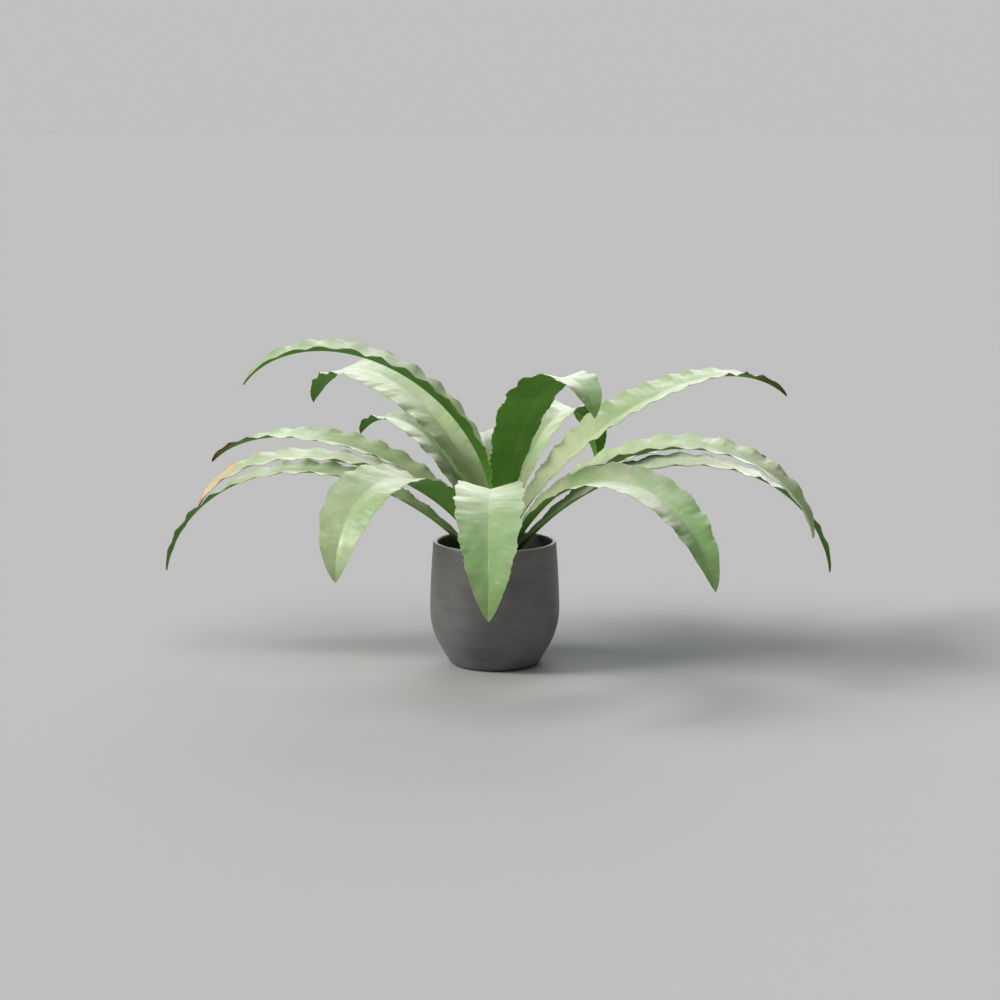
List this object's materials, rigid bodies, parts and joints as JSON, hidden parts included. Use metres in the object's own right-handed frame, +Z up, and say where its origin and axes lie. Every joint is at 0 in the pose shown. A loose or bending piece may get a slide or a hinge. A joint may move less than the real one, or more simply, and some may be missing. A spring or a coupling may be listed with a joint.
{
  "type": "potted bird's nest fern",
  "caption": "Bird's nest fern: arching, wave-edged strap fronds on a short crown, in a round stoneware pot filled with potting mix.",
  "frame": {"origin": "centre of the pot's foot, on the surface that it stands on", "axes": "+Z up along the pot's axis, +X to the right and +Y to the back as seen from the plant's front"},
  "size_m": [0.7902, 0.604, 0.3779],
  "materials": {
    "stoneware": "matte",
    "potting_mix": "matte",
    "rhizome": "matte",
    "leaf": "satin"
  },
  "bodies": {
    "root": {"pot": "stoneware", "potting_mix": "potting_mix", "crown": "rhizome", "frond_low_front": "leaf", "frond_low_front_right": "leaf", "frond_low_right": "leaf", "frond_middle_right": "leaf", "frond_middle_right_back": "leaf", "frond_high_right": "leaf", "frond_middle_back_right": "leaf", "frond_middle_back": "leaf", "frond_low_left_back": "leaf", "frond_high_left_back": "leaf", "frond_middle_left": "leaf", "frond_low_left": "leaf", "frond_high_left": "leaf", "frond_low_left_front": "leaf", "frond_low_front_left": "leaf", "frond_high_front": "leaf"}
  },
  "joints": []
}
